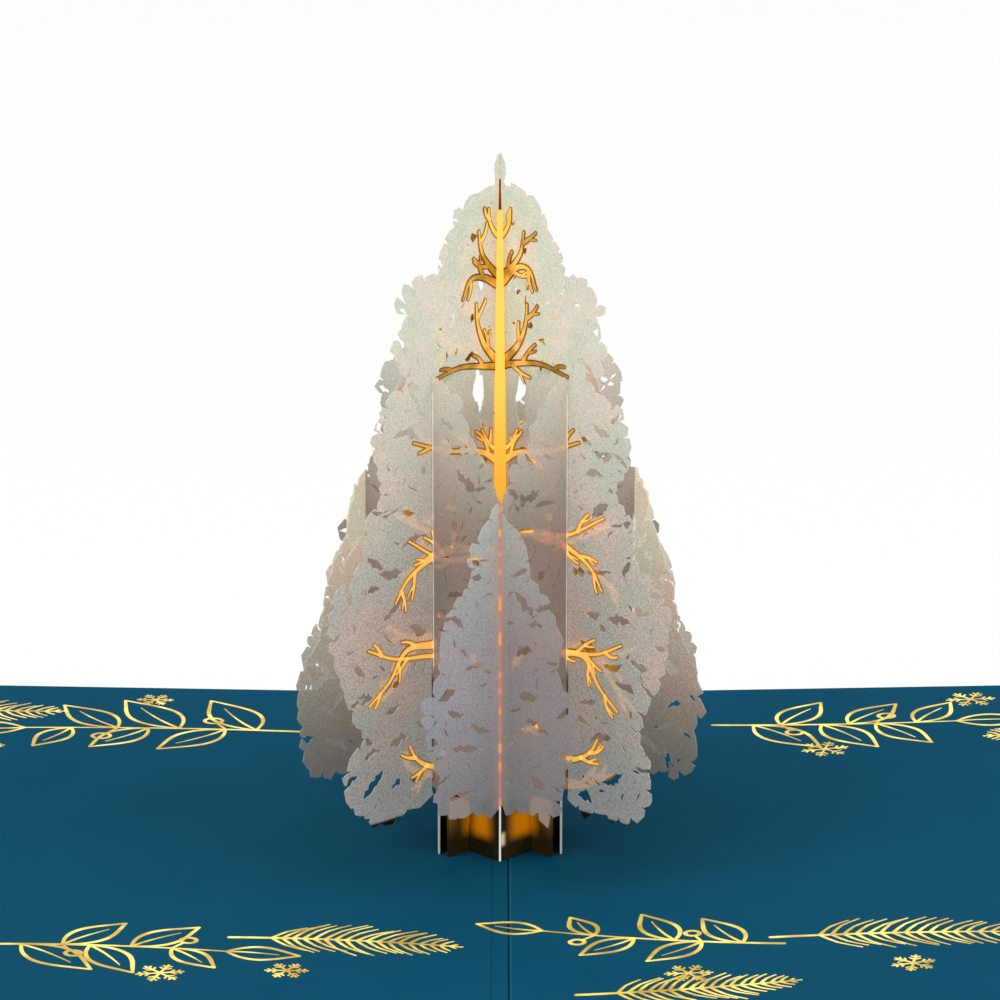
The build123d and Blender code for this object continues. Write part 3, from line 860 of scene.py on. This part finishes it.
# %% Strips of foil
def smooth_line(points, steps):
    """A smooth curve through a few points, by the Catmull and Rom rule."""
    (x0, y0), (x1, y1), (x2, y2), (x3, y3) = points[0], points[1], points[-2], points[-1]
    guide = [(2 * x0 - x1, 2 * y0 - y1), *points, (2 * x3 - x2, 2 * y3 - y2)]
    line = []
    for index in range(1, len(guide) - 2):
        a, b, c, d = guide[index - 1:index + 3]
        for step in range(steps):
            t = step / steps
            line.append(tuple(
                0.5 * (2 * b[k] + (c[k] - a[k]) * t + (2 * a[k] - 5 * b[k] + 4 * c[k] - d[k]) * t ** 2
                       + (3 * b[k] - a[k] - 3 * c[k] + d[k]) * t ** 3) for k in (0, 1)
            ))
    return line + [tuple(points[-1])]


def ribbon(mesh, line, widths, place, round_ends=True):
    """A flat strip along a line, with its own width at each point, laid where place says."""
    left, right = [], []
    for index, (x, y) in enumerate(line):
        before, after = line[max(index - 1, 0)], line[min(index + 1, len(line) - 1)]
        run_x, run_y = after[0] - before[0], after[1] - before[1]
        length = hypot(run_x, run_y) or 1
        half = widths(index / (len(line) - 1)) / 2
        left.append((x - run_y / length * half, y + run_x / length * half))
        right.append((x + run_y / length * half, y - run_x / length * half))
    if round_ends:
        for end, step in ((0, -1), (-1, 1)):
            (x, y), (ax, ay), (bx, by) = line[end], left[end], right[end]
            out_x, out_y = (ay - by) / 2 * step, (bx - ax) / 2 * step
            for rail, (rail_x, rail_y) in ((left, (ax, ay)), (right, (bx, by))):
                cap = (x + (rail_x - x) * 0.7 + out_x * 0.7, y + (rail_y - y) * 0.7 + out_y * 0.7)
                rail.insert(0 if end == 0 else len(rail), cap)
    near = [mesh.verts.new(place(x, y)) for x, y in left]
    far = [mesh.verts.new(place(x, y)) for x, y in right]
    for index in range(len(near) - 1):
        mesh.faces.new((near[index], far[index], far[index + 1], near[index + 1]))


def sheet_piece(name, mesh, thickness, material):
    """Turns flat strips into a thin closed sheet of foil that rides with the card."""
    bmesh.ops.recalc_face_normals(mesh, faces=mesh.faces)
    data = bpy.data.meshes.new(name)
    mesh.to_mesh(data)
    mesh.free()
    piece = add_piece(name, data)
    thicken(piece, thickness * MM, 0)
    join_card(piece, material)

# %% [markdown]
# The real limbs grow like antlers, with curved twigs and blunt tips, which would cost a solid too many
# faces. So each main limb is a smooth line, and twigs leave it at random: mostly up and down in turn, at an
# angle that a branch would take, and some of them fork once more.

# %% A limb with its twigs
TWIG_SPACING = 6.4
LIMB_WIDTH, SHORT_LIMB_WIDTH, TWIG_WIDTH = 1.9, 1.35, 1.15


def ahead(start, angle, distance):
    return start[0] + cos(angle) * distance, start[1] + sin(angle) * distance


def bent(start, angle, length, bend, steps=6):
    """A line that bends evenly, from a start and a first angle."""
    line = [start]
    for _ in range(steps):
        line.append(ahead(line[-1], angle, length / steps))
        angle += bend / steps
    return line


def antler(chance, main, side):
    """A limb with its twigs, as lines with a width at each end; side is -1 left of the stem and 1 right."""
    line = smooth_line(main, 6)
    length = sum(dist(a, b) for a, b in zip(line, line[1:]))
    grown = [(line, LIMB_WIDTH if length > 9 else SHORT_LIMB_WIDTH, 0.75)]
    twigs = max(1, round(length / TWIG_SPACING))
    for number in range(twigs):
        share = (number + chance.uniform(0.45, 0.95)) / twigs * 0.88
        index = min(round(share * (len(line) - 1)), len(line) - 2)
        (x, y), (next_x, next_y) = line[index], line[index + 1]
        angle = atan2(next_y - y, next_x - x)
        up = 1 if (number + chance.choice((0, 0, 1))) % 2 == 0 else -1
        turn = up * side * radians(chance.uniform(38, 62))
        reach = min(length * 0.42, chance.uniform(3.0, 5.6)) * (1.1 - 0.35 * share)
        bend = -up * side * radians(chance.uniform(15, 70))
        twig = bent((x, y), angle + turn, reach, bend)
        grown.append((twig, TWIG_WIDTH, 0.75))
        if reach > 3.6:
            way = atan2(twig[3][1] - twig[2][1], twig[3][0] - twig[2][0])
            fork = chance.choice((-1, 1))
            grown.append((bent(twig[3], way + fork * 0.8, reach * 0.42, -fork * 0.5, 4), 0.75, 0.55))
    return grown

# %% [markdown]
# Each gold tree keeps its own foot and stem, cut free of its packed limbs, and new limbs are laid on it as
# strips: one of dark gold, whose edges show as painted shade, and on it a narrower one of brighter foil, a
# painted highlight. The main limbs stand where they do in the photo, as shares of the crown's reach and height,
# and a little chance keeps the trees apart.

# %% Gold trees with smooth limbs
CROWN_REACH, CROWN_HEIGHT = 39.2, 121.4
HALF_VELLUM, GOLD_THICKNESS, SHINE_THICKNESS = 0.125, 0.12, 0.02
BESIDE_STEM = ((2.4, 10.7), (60, 10.7), (60, 140), (0.44, 140), (0.44, 117.1), (1.93, 60.7))
MAIN_LIMBS = [
    [(0.0, 0.880), (0.045, 0.892), (0.075, 0.908), (0.08, 0.925)],
    [(0.0, 0.825), (0.07, 0.842), (0.13, 0.865), (0.15, 0.896)],
    [(0.03, 0.822), (0.12, 0.846), (0.20, 0.846), (0.25, 0.820)],
    [(0.0, 0.700), (0.10, 0.722), (0.27, 0.732), (0.44, 0.722)],
    [(0.04, 0.712), (0.115, 0.735), (0.16, 0.765), (0.17, 0.795)],
    [(0.0, 0.56), (0.13, 0.578), (0.34, 0.590), (0.54, 0.612)],
    [(0.0, 0.575), (0.08, 0.592), (0.13, 0.615)],
    [(0.0, 0.43), (0.17, 0.452), (0.42, 0.462), (0.66, 0.50)],
    [(0.30, 0.455), (0.46, 0.445), (0.60, 0.425), (0.68, 0.395)],
    [(0.0, 0.262), (0.20, 0.297), (0.42, 0.318), (0.64, 0.328), (0.80, 0.35)],
    [(0.40, 0.316), (0.56, 0.318), (0.66, 0.28), (0.78, 0.252)],
    [(0.0, 0.12), (0.14, 0.163), (0.26, 0.18), (0.40, 0.188)],
    [(0.42, 0.137), (0.52, 0.143), (0.61, 0.158), (0.66, 0.18)],
]
# Each tree: where its slice faces, its reach, and 1 on the slice's front face or -1 on its back
TREES = {
    "gold_tree_a_front": ((1, -1), 1.0, 1), "gold_tree_a_back": ((1, -1), 0.97, -1),
    "gold_tree_b_front": ((-1, -1), 0.96, 1), "gold_tree_b_back": ((-1, -1), 1.0, -1),
}


def gold_tree(node, facing, reach_scale, face):
    chance = random.Random(len(node) + round(reach_scale * 1000) + (face > 0))
    facing, across, rims, _, place = read_sheet(node, facing)
    beside = [[(side * x * MM, z * MM) for x, z in BESIDE_STEM] for side in (-1, 1)]
    rim_count = sum(len(rim) for rim in rims)
    stem = flat_sheet(node + "_stem", rims + beside, rim_count, place, facing, GOLD_THICKNESS * MM)
    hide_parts(node)
    join_card(stem, branch_edge)
    in_gold = in_plane(facing, across, (HALF_VELLUM + GOLD_THICKNESS / 2) * face)
    on_gold = in_plane(facing, across, (HALF_VELLUM + GOLD_THICKNESS + 0.015) * face)
    edges, shines = bmesh.new(), bmesh.new()
    for side in (-1, 1):
        for main in MAIN_LIMBS:
            rise = chance.uniform(-2.8, 2.8) if main[-1][0] > 0.2 else 0
            reach = reach_scale * chance.uniform(0.84, 1.04) * CROWN_REACH
            points = [(side * x * reach, y * CROWN_HEIGHT + rise * min(1, x * 8)) for x, y in main]
            for line, base, tip in antler(chance, points, side):
                width = lambda t: base + (tip - base) * t ** 0.7
                ribbon(edges, line, width, lambda x, y: in_gold(x, y) * MM)
                ribbon(shines, line, lambda t: width(t) * (0.72 - 0.3 * t), lambda x, y: on_gold(x, y) * MM)
    sheet_piece(node + "_limbs", edges, GOLD_THICKNESS - 0.01, branch_edge)
    sheet_piece(node + "_shine", shines, SHINE_THICKNESS, branch_face)


for name, settings in TREES.items():
    gold_tree(name, *settings)

# %% [markdown]
# Gold foil is stamped on the card in two bands, one along each outer edge: leafy sprigs drawn in outline,
# fir twigs, berries and snowflakes. The motifs here are common winter ornament, in a layout of their own.
# Each line is a ribbon of foil that follows the sloping panel.

# %% Motifs of the stamped foil
CARD_THICKNESS = 0.38
FOIL_LIFT = 0.015
PANEL_SLOPE = tan(radians(1.0))
LINE = 0.74


def on_card(x, y):
    rise = CARD_THICKNESS + max(abs(x) - CREASE, 0) * PANEL_SLOPE
    return Vector((x, y, rise + FOIL_LIFT)) * MM


def stroke(mesh, line, width, taper=0, round_ends=True):
    ribbon(mesh, line, lambda t: LINE * (width - taper * t), on_card, round_ends)


def motif_stem(mesh, start, degrees, length, bend_degrees, steps, width, taper):
    """Lays a gently bending stem, and returns its points with the angle at each."""
    angle, turn = radians(degrees), radians(bend_degrees) / steps
    line = bent(start, angle + turn, length, turn * steps, steps)
    stroke(mesh, line, width, taper)
    return [(point, angle + turn * number) for number, point in enumerate(line)]


def leaf(mesh, base, angle, length, width):
    """A pointed leaf drawn in outline, with a vein that stops short of its tip."""
    def at(along, out):
        return ahead(ahead(base, angle, along), angle + pi / 2, out)

    shape = [0, 0.62, 0.95, 1.0, 0.78, 0.4, 0]
    for side in (-1, 1):
        points = [at(length * i / 6, side * width / 2 * value) for i, value in enumerate(shape)]
        ribbon(mesh, smooth_line(points, 3), lambda t: LINE * (0.75 + 0.35 * sin(3.1 * t)), on_card)
    vein = [at(length * share, width * 0.05 * sin(share * 5)) for share in (0, 0.25, 0.5, 0.72)]
    stroke(mesh, smooth_line(vein, 3), 0.9, 0.6)


def berry(mesh, base, angle, stalk, radius):
    middle = ahead(base, angle, stalk + radius)
    stroke(mesh, [base, ahead(base, angle, stalk)], 0.7)
    stroke(mesh, [ahead(middle, 2 * pi * i / 14, radius) for i in range(15)], 1, round_ends=False)


def sprig(mesh, chance, start, degrees, length, bend_degrees, leaves, size):
    line = motif_stem(mesh, start, degrees, length, bend_degrees, 18, 1.15, 0.55)
    for number in range(leaves):
        share = 0.16 + 0.78 * number / leaves
        place, angle = line[round(share * (len(line) - 1))]
        side = 1 if number % 2 else -1
        reach = size * (1.1 - 0.45 * share) * chance.uniform(0.85, 1.1)
        leaf(mesh, place, angle + side * radians(chance.uniform(44, 62)), reach, reach * 0.44)
        if number % 3 == 1:
            berry(mesh, place, angle - side * radians(62), size * 0.2, size * 0.08)
    leaf(mesh, *line[-1], size * 0.75, size * 0.36)


def fir_twig(mesh, chance, start, degrees, length, bend_degrees, needle):
    line = motif_stem(mesh, start, degrees, length, bend_degrees, 22, 1.2, 0.6)
    for number, (place, angle) in enumerate(line[4:], 4):
        full = sin(pi * min(0.2 + 0.86 * number / len(line), 1)) ** 0.6
        for side in (-1, 1):
            lean = angle + side * radians(chance.uniform(52, 64))
            reach = needle * full * chance.uniform(0.85, 1.1)
            middle = ahead(place, lean, reach * 0.5)
            points = [place, middle, ahead(middle, lean - side * 0.35, reach * 0.5)]
            stroke(mesh, smooth_line(points, 2), 0.9, 0.45)


def snowflake(mesh, middle, radius, turn_degrees):
    for arm in range(6):
        angle = radians(turn_degrees + 60 * arm)
        stroke(mesh, [middle, ahead(middle, angle, radius)], 0.62)
        for share, barb in ((0.45, 0.3), (0.72, 0.24)):
            foot = ahead(middle, angle, radius * share)
            for side in (-1, 1):
                stroke(mesh, [foot, ahead(foot, angle + side * radians(52), radius * barb)], 0.55)

# %% [markdown]
# The layout is a table in millimetres on the card, with a start, a direction and a size for each motif. One
# piece of foil holds each quarter of it, so that a quarter can be left off where a plain card is wanted.

# %% Stamped foil ornament
# The stamped foil glows a little, a painted shine on its gold.
stamped = gold_foil("stamped_foil", (0.50, 0.33, 0.03), (0.98, 0.78, 0.15), 0.62)
BANDS = {
    "foil_back_left": (
        [((-37, 62), 176, 52, 8, 6, 21)],
        [((-124, 76), -14, 42, 18, 9)], [((-96, 50), 4.4, 8), ((-118, 54), 4.0, 20), ((-66, 81), 3.4, 0)],
    ),
    "foil_back_right": (
        [((40, 66), -4, 46, 8, 6, 19)], [((124, 56), 172, 34, 14, 9)],
        [((60, 50), 4.4, 15), ((90, 80), 4.6, 5), ((112, 80), 3.8, 25)],
    ),
    "foil_front_left": (
        [((-84, -56), 4, 40, -12, 5, 16)],
        [((-44, -51), 2, 38, -12, 9), ((-124, -50), -6, 38, 12, 9)],
        [((-54, -68), 3.8, 12), ((-34, -66), 3.4, 0), ((-104, -74), 4.6, 22)],
    ),
    "foil_front_right": (
        [((46, -54), 176, 40, -14, 5, 15)],
        [((44, -51), 6, 44, -10, 9), ((12, -76), 4, 36, 8, 8)],
        [((30, -67), 3.8, 3), ((66, -64), 3.6, 18), ((100, -74), 4.6, 9)],
    ),
}
for number, (name, (sprigs, twigs, flakes)) in enumerate(BANDS.items()):
    chance = random.Random(40 + number)
    mesh = bmesh.new()
    for settings in sprigs:
        sprig(mesh, chance, *settings)
    for settings in twigs:
        fir_twig(mesh, chance, *settings)
    for settings in flakes:
        snowflake(mesh, *settings)
    sheet_piece(name, mesh, 0.02, stamped)

# %% [markdown]
# The trunk is mirror gold card, dark because it reflects the teal card around it. Its cut edges show the
# white core, and the white line at the fold glows a little, a painted highlight. The lamps inside throw a soft
# orange patch on each front plate, with a pale glint beside the fold, and a dim warm glow at the top of each
# side plate. Real lamps behind a plate would need its card to be clear, so these are painted glow in its
# material.

# %% Bronze trunk card with white edges
WHITE_CORE, DARK_EDGE = (0.80, 0.79, 0.75), (0.05, 0.035, 0.01)
BRONZE_DARK, BRONZE_LIGHT, BRONZE_SPOT = (0.022, 0.015, 0.003), (0.060, 0.038, 0.007), (0.22, 0.14, 0.03)
LAMP_AMBER, LAMP_WHITE, DIM_WARM_GLOW = (0.43, 0.13, 0.0), (0.72, 0.58, 0.34), (0.11, 0.018, 0.001)
FLAP_TOP, PLATE_X = 0.98 * MM, 10.6


def soft_patch(tree, x, z, middle_x, middle_z, wide, tall, soft):
    """A soft-edged upright oblong in the plane seen from the front: one inside and zero outside."""
    sides = []
    for value, middle, half in ((x, middle_x, wide / 2), (z, middle_z, tall / 2)):
        away = maths(tree, "ABSOLUTE", maths(tree, "SUBTRACT", value, middle * MM))
        sides.append(ramp(tree, away, half + soft, half - soft, interpolation_type="SMOOTHSTEP"))
    return times(tree, *sides)


def bronze_card(name, facing, patches, white_fold=False, dark_flap=False):
    """Card that is bronze on its faces and white on its cut edges, with patches of painted lamp light."""
    made, tree, shader = new_material(name)
    height, _ = grain(tree, 0.3 * MM)
    colour = mix(tree, cloud(tree, 4 * MM), BRONZE_DARK, BRONZE_LIGHT)
    colour = tinted(tree, colour, BRONZE_SPOT, cloud(tree, 0.35 * MM, 1, 0.62, 0.7), 0.5)
    normal = add_node(tree, "ShaderNodeTexCoord", {}).outputs["Normal"]
    along = add_node(
        tree, "ShaderNodeVectorMath", {0: normal, 1: tuple(Vector(facing).normalized())},
        operation="DOT_PRODUCT",
    )
    aligned = maths(tree, "ABSOLUTE", along.outputs["Value"])
    face_on = maths(tree, "GREATER_THAN", aligned, 0.5)
    x, _, z = axes(tree)
    core, glow = WHITE_CORE, (0, 0, 0)
    # The cut edges of a side plate's foot flap are painted dark like its faces: painted shade low inside the
    # trunk.
    if dark_flap:
        plate = line_mask(tree, maths(tree, "ABSOLUTE", x), PLATE_X, 0.25, 0.03)
        beside_plate = maths(tree, "SUBTRACT", 1.0, plate)
        flap = times(tree, maths(tree, "LESS_THAN", z, FLAP_TOP), beside_plate)
        face_on = maths(tree, "MAXIMUM", face_on, flap)
    if white_fold:
        line = line_mask(tree, x, 0, 0.14, 0.05)
        core = mix(tree, line, DARK_EDGE, WHITE_CORE)
        face_on = times(tree, face_on, maths(tree, "SUBTRACT", 1.0, line))
    for light, *patch in patches:
        glow = mix(tree, times(tree, soft_patch(tree, x, z, *patch), face_on), glow, light)
    # The white line at the fold glows a little: a painted highlight.
    if white_fold:
        glow = tinted(tree, glow, WHITE_CORE, line, 0.5)
    set_inputs(tree, shader, {
        "Base Color": mix(tree, face_on, core, colour), "Metallic": times(tree, face_on, 0.6),
        "Roughness": 0.42, "Emission Color": glow, "Emission Strength": 1.0,
    })
    bump(tree, shader, height, 0.3, 0.03 * MM)
    return made


# Patches of painted lamp light: an amber glow on each front plate, and a pale painted glint beside the fold.
AMBER_LEFT, AMBER_RIGHT = (LAMP_AMBER, -3.2, 6.3, 3.0, 4.6, 1.2), (LAMP_AMBER, 3.7, 6.3, 3.6, 4.6, 1.2)
PAINTED_GLINT = (LAMP_WHITE, 0.45, 4.2, 0.55, 2.2, 0.5)
TRUNK_PLATES = {
    "front_left": ((-1, -1, 0), [AMBER_LEFT], True),
    "front_right": ((1, -1, 0), [AMBER_RIGHT, PAINTED_GLINT], True),
    "back_left": ((1, -1, 0), []), "back_right": ((-1, -1, 0), []),
}
for name, settings in TRUNK_PLATES.items():
    put_on(bronze_card(name + "_trunk_card", *settings), nodes["trunk_plate_" + name])
# A dim warm glow of painted lamp light at the top of each side plate.
warm_glow_tops = [(DIM_WARM_GLOW, side * 10.4, 9.0, 3, 8, 2.5) for side in (-1, 1)]
side_card = bronze_card("side_plate_card", (1, 0, 0), warm_glow_tops, dark_flap=True)
put_on(side_card, nodes["side_plate_left"], nodes["side_plate_right"])
print("trunk plates:", len(TRUNK_PLATES))

# %% [markdown]
# The light guide glows from inside, yellow over most of its length and orange near its foot. Emission gives
# that, with a strength of one so that the colour is kept. The lamps have the same kind of finish, and the
# hidden parts of the light unit are plain steel, brass and green circuit.

# %% Light guide, lamps and light unit
def glowing(name, low_colour, high_colour, low, high):
    made, tree, shader = new_material(name)
    _, _, z = axes(tree)
    colour = mix(tree, ramp(tree, z, low, high), low_colour, high_colour)
    values = {"Emission Color": colour, "Emission Strength": 1.0, "Roughness": 0.4}
    set_inputs(tree, shader, values | {"Base Color": (0.25, 0.13, 0.02)})
    return made


FINISHES = {
    "flexible_circuit": ((0.03, 0.08, 0.06), (0.05, 0.12, 0.09), 0.0, 0.4, 0.8, ["light_board"]),
    "cell_steel": (
        (0.45, 0.45, 0.43), (0.62, 0.62, 0.6), 1.0, 0.3, 0.5, ["button_cell_lower", "button_cell_upper"]),
    "sprung_brass": ((0.55, 0.36, 0.12), (0.7, 0.5, 0.2), 1.0, 0.3, 0.5, ["battery_clip", "switch_contact"]),
}
put_on(glowing("lit_guide", (0.80, 0.26, 0.008), (0.95, 0.58, 0.06), 48, 82), nodes["light_guide"])
put_on(glowing("lit_lamp", (1.0, 0.5, 0.12), (1.0, 0.7, 0.3), 0, 3), nodes["guide_lamp"], nodes["front_lamp"])
for name, (dark, light, metallic, roughness, size, names) in FINISHES.items():
    made, tree, shader = new_material(name)
    colour = mix(tree, cloud(tree, size * MM), dark, light)
    set_inputs(tree, shader, {"Base Color": colour, "Metallic": metallic, "Roughness": roughness})
    put_on(made, *[nodes[node] for node in names])
    print(name, "on", *names)

# %% [markdown]
# Studio: a white floor, wide enough to reach behind the card as far as the camera sees. It takes the card's
# shadow, and is mostly plain white to the camera, as in the photo.

# %% White floor
bpy.ops.object.select_all(action="DESELECT")
bpy.ops.mesh.primitive_plane_add(size=8, location=(0, 0, -0.05 * MM))
floor = bpy.context.object
floor.name = "studio_floor"
made, tree, shader = new_material("studio_floor")
set_inputs(tree, shader, {"Base Color": (0.86, 0.86, 0.86), "Roughness": 0.9})
path = add_node(tree, "ShaderNodeLightPath", {}).outputs
seen = maths(tree, "MAXIMUM", path["Is Camera Ray"], path["Is Transmission Ray"])
seen = times(tree, maths(tree, "MAXIMUM", seen, path["Is Glossy Ray"]), 0.9)
paper_white = add_node(tree, "ShaderNodeEmission", {"Color": (1, 1, 1), "Strength": 1.0})
blend = add_node(tree, "ShaderNodeMixShader", {0: seen, 1: shader.outputs[0], 2: paper_white.outputs[0]})
join(tree, blend.outputs[0], tree.nodes["Material Output"].inputs["Surface"])
put_on(made, floor)
print("floor at", round(floor.location.z / MM, 2), "mm")

# %% [markdown]
# One broad lamp stands high on the left and a weaker one on the right, for the soft shadow of a light tent.
# The world fills in from all sides, and is pure white to the camera while it lights the card a little less.

# %% Lamps and world
LAMPS = {"key_lamp": ((-0.9, -0.7, 1.3), 1.0, 11.5), "fill_lamp": ((1.1, -0.5, 0.9), 1.2, 8)}
LAMP_AIM = Vector((0, 0, 0.05))
WORLD_STRENGTH = 0.75
for name, (spot, size, power) in LAMPS.items():
    turn = (LAMP_AIM - Vector(spot)).to_track_quat("-Z", "Y").to_euler()
    bpy.ops.object.light_add(type="AREA", location=spot, rotation=turn)
    lamp = bpy.context.object
    lamp.name = name
    lamp.data.size = size
    lamp.data.energy = power
    print(name, power, "W")
world = bpy.data.worlds.new("studio")
bpy.context.scene.world = world
world.use_nodes = True
tree = world.node_tree
path = add_node(tree, "ShaderNodeLightPath", {})
lift = times(tree, path.outputs["Is Camera Ray"], 1 - WORLD_STRENGTH)
set_inputs(tree, tree.nodes["Background"], {
    "Color": (1, 1, 1), "Strength": maths(tree, "ADD", lift, WORLD_STRENGTH)
})
bpy.context.scene.view_settings.view_transform = "Standard"
